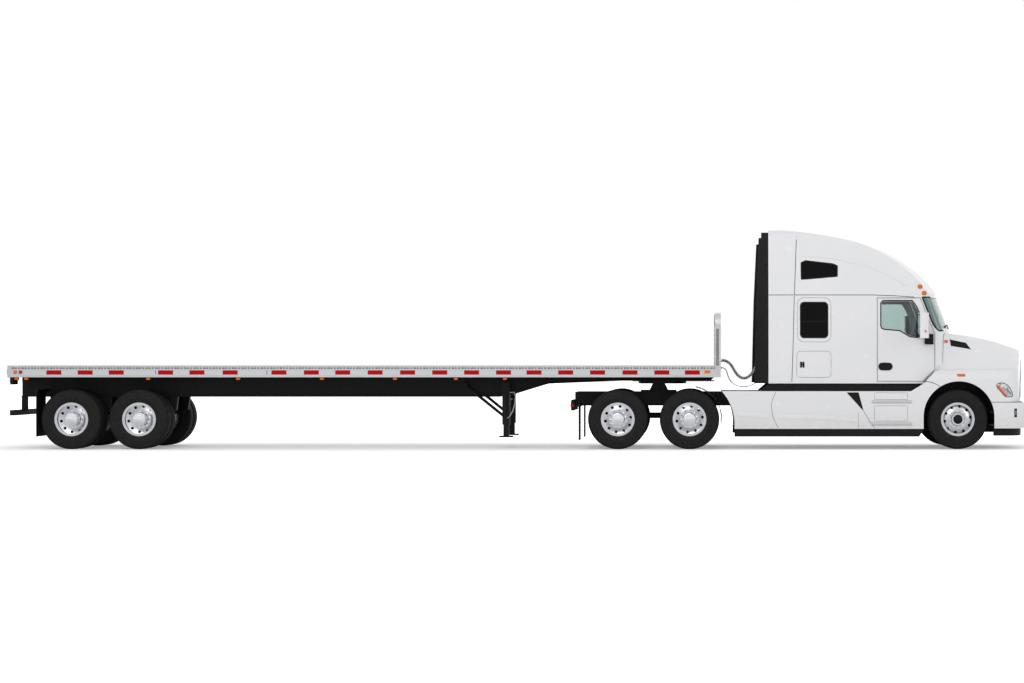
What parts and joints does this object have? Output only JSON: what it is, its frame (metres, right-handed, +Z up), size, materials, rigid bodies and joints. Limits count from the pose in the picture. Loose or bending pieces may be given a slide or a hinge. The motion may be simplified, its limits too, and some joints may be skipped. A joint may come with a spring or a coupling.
{
  "type": "articulated flatbed lorry",
  "caption": "Articulated flatbed lorry: a sleeper-cab tractor coupled at its kingpin to a long tandem-axle flat deck trailer.",
  "frame": {"origin": "on the floor, under the middle of the whole lorry's length and width", "axes": "+X forward, +Y to the lorry's left, +Z up"},
  "size_m": [18.81, 3.2482, 4.0553],
  "materials": {
    "white_enamel": "gloss",
    "chassis_black": "satin",
    "black_plastic": "moulded",
    "tyre_rubber": "moulded rubber",
    "polished_aluminium": "polished",
    "brushed_aluminium": "brushed",
    "tinted_glass": "tinted",
    "lamp_lens": "clear",
    "red_lens": "moulded",
    "seat_fabric": "woven",
    "deck_boards": "worn boards",
    "hose_rubber": "moulded"
  },
  "bodies": {
    "tractor": {"tractor_frame": "chassis_black", "front_axle": "chassis_black", "drive_axles": "chassis_black", "engine": "chassis_black", "fifth_wheel": "chassis_black", "mudguards": "black_plastic", "cab_shell": "white_enamel", "roof_fairing": "white_enamel", "cab_glass": "tinted_glass", "extenders": "black_plastic", "cab_belt": "black_plastic", "dashboard": "black_plastic", "seats_and_bunk": "seat_fabric", "bumper": "white_enamel", "chassis_fairings": "white_enamel", "fuel_tanks": "brushed_aluminium"},
    "hood": {"hood": "white_enamel", "grille": "black_plastic", "headlamps": "lamp_lens"},
    "trailer": {"trailer_frame": "chassis_black", "deck": "deck_boards", "side_rails": "brushed_aluminium", "headboard": "brushed_aluminium", "landing_gear": "chassis_black", "trailer_axles": "chassis_black", "trailer_mudflaps": "black_plastic", "trailer_lamps": "red_lens", "air_lines": "hose_rubber", "power_cable": "hose_rubber"},
    "knuckle_right": {"knuckle_right": "chassis_black"},
    "steer_wheel_right": {"steer_tyre_right": "tyre_rubber", "steer_rim_right": "polished_aluminium"},
    "front_drive_wheel_right": {"front_drive_tyres_right": "tyre_rubber", "front_drive_rims_right": "polished_aluminium"},
    "rear_drive_wheel_right": {"rear_drive_tyres_right": "tyre_rubber", "rear_drive_rims_right": "polished_aluminium"},
    "front_trailer_wheel_right": {"front_trailer_tyres_right": "tyre_rubber", "front_trailer_rims_right": "polished_aluminium"},
    "rear_trailer_wheel_right": {"rear_trailer_tyres_right": "tyre_rubber", "rear_trailer_rims_right": "polished_aluminium"},
    "door_right": {"door_right": "white_enamel", "door_glass_right": "tinted_glass", "mirror_right": "white_enamel"},
    "luggage_hatch_right": {"luggage_hatch_right": "white_enamel"},
    "knuckle_left": {"knuckle_left": "chassis_black"},
    "steer_wheel_left": {"steer_tyre_left": "tyre_rubber", "steer_rim_left": "polished_aluminium"},
    "front_drive_wheel_left": {"front_drive_tyres_left": "tyre_rubber", "front_drive_rims_left": "polished_aluminium"},
    "rear_drive_wheel_left": {"rear_drive_tyres_left": "tyre_rubber", "rear_drive_rims_left": "polished_aluminium"},
    "front_trailer_wheel_left": {"front_trailer_tyres_left": "tyre_rubber", "front_trailer_rims_left": "polished_aluminium"},
    "rear_trailer_wheel_left": {"rear_trailer_tyres_left": "tyre_rubber", "rear_trailer_rims_left": "polished_aluminium"},
    "door_left": {"door_left": "white_enamel", "door_glass_left": "tinted_glass", "mirror_left": "white_enamel"},
    "luggage_hatch_left": {"luggage_hatch_left": "white_enamel"}
  },
  "joints": [
    {"name": "trailer_yaw", "type": "hinge", "parent": "tractor", "child": "trailer", "pos_m": [2.525, 0, 1.2467], "axis": [0, 0, 1], "range_deg": [-90, 90], "deforming": ["air_lines", "power_cable"]},
    {"name": "steer_right", "type": "hinge", "parent": "tractor", "child": "knuckle_right", "pos_m": [8.05, -0.865, 0.55], "axis": [0, 0, 1], "range_deg": [-35, 35]},
    {"name": "steer_wheel_right_roll", "type": "hinge", "parent": "knuckle_right", "child": "steer_wheel_right", "pos_m": [8.05, -1.03, 0.55], "axis": [0, 1, 0], "continuous": true},
    {"name": "front_drive_right_roll", "type": "hinge", "parent": "tractor", "child": "front_drive_wheel_right", "pos_m": [3.11, -0.925, 0.55], "axis": [0, 1, 0], "continuous": true},
    {"name": "rear_drive_right_roll", "type": "hinge", "parent": "tractor", "child": "rear_drive_wheel_right", "pos_m": [1.79, -0.925, 0.55], "axis": [0, 1, 0], "continuous": true},
    {"name": "front_trailer_right_roll", "type": "hinge", "parent": "trailer", "child": "front_trailer_wheel_right", "pos_m": [-7.015, -0.925, 0.55], "axis": [0, 1, 0], "continuous": true},
    {"name": "rear_trailer_right_roll", "type": "hinge", "parent": "trailer", "child": "rear_trailer_wheel_right", "pos_m": [-8.26, -0.925, 0.55], "axis": [0, 1, 0], "continuous": true},
    {"name": "door_right_swing", "type": "hinge", "parent": "tractor", "child": "door_right", "pos_m": [7.652, -1.14, 2], "axis": [0, 0, 1], "range_deg": [0, 70]},
    {"name": "luggage_hatch_right_swing", "type": "hinge", "parent": "tractor", "child": "luggage_hatch_right", "pos_m": [5.72, -1.1393, 1.56], "axis": [0, 0, 1], "range_deg": [0, 100]},
    {"name": "steer_left", "type": "hinge", "parent": "tractor", "child": "knuckle_left", "pos_m": [8.05, 0.865, 0.55], "axis": [0, 0, 1], "range_deg": [-35, 35]},
    {"name": "steer_wheel_left_roll", "type": "hinge", "parent": "knuckle_left", "child": "steer_wheel_left", "pos_m": [8.05, 1.03, 0.55], "axis": [0, 1, 0], "continuous": true},
    {"name": "front_drive_left_roll", "type": "hinge", "parent": "tractor", "child": "front_drive_wheel_left", "pos_m": [3.11, 0.925, 0.55], "axis": [0, 1, 0], "continuous": true},
    {"name": "rear_drive_left_roll", "type": "hinge", "parent": "tractor", "child": "rear_drive_wheel_left", "pos_m": [1.79, 0.925, 0.55], "axis": [0, 1, 0], "continuous": true},
    {"name": "front_trailer_left_roll", "type": "hinge", "parent": "trailer", "child": "front_trailer_wheel_left", "pos_m": [-7.015, 0.925, 0.55], "axis": [0, 1, 0], "continuous": true},
    {"name": "rear_trailer_left_roll", "type": "hinge", "parent": "trailer", "child": "rear_trailer_wheel_left", "pos_m": [-8.26, 0.925, 0.55], "axis": [0, 1, 0], "continuous": true},
    {"name": "door_left_swing", "type": "hinge", "parent": "tractor", "child": "door_left", "pos_m": [7.652, 1.14, 2], "axis": [0, 0, -1], "range_deg": [0, 70]},
    {"name": "luggage_hatch_left_swing", "type": "hinge", "parent": "tractor", "child": "luggage_hatch_left", "pos_m": [5.72, 1.1393, 1.56], "axis": [0, 0, -1], "range_deg": [0, 100]},
    {"name": "hood_tilt", "type": "hinge", "parent": "tractor", "child": "hood", "pos_m": [9.24, 0, 0.888], "axis": [0, 1, 0], "range_deg": [0, 65]}
  ],
  "couplings": [
    {"joint": "steer_left", "follows": "steer_right", "ratio": 1}
  ]
}
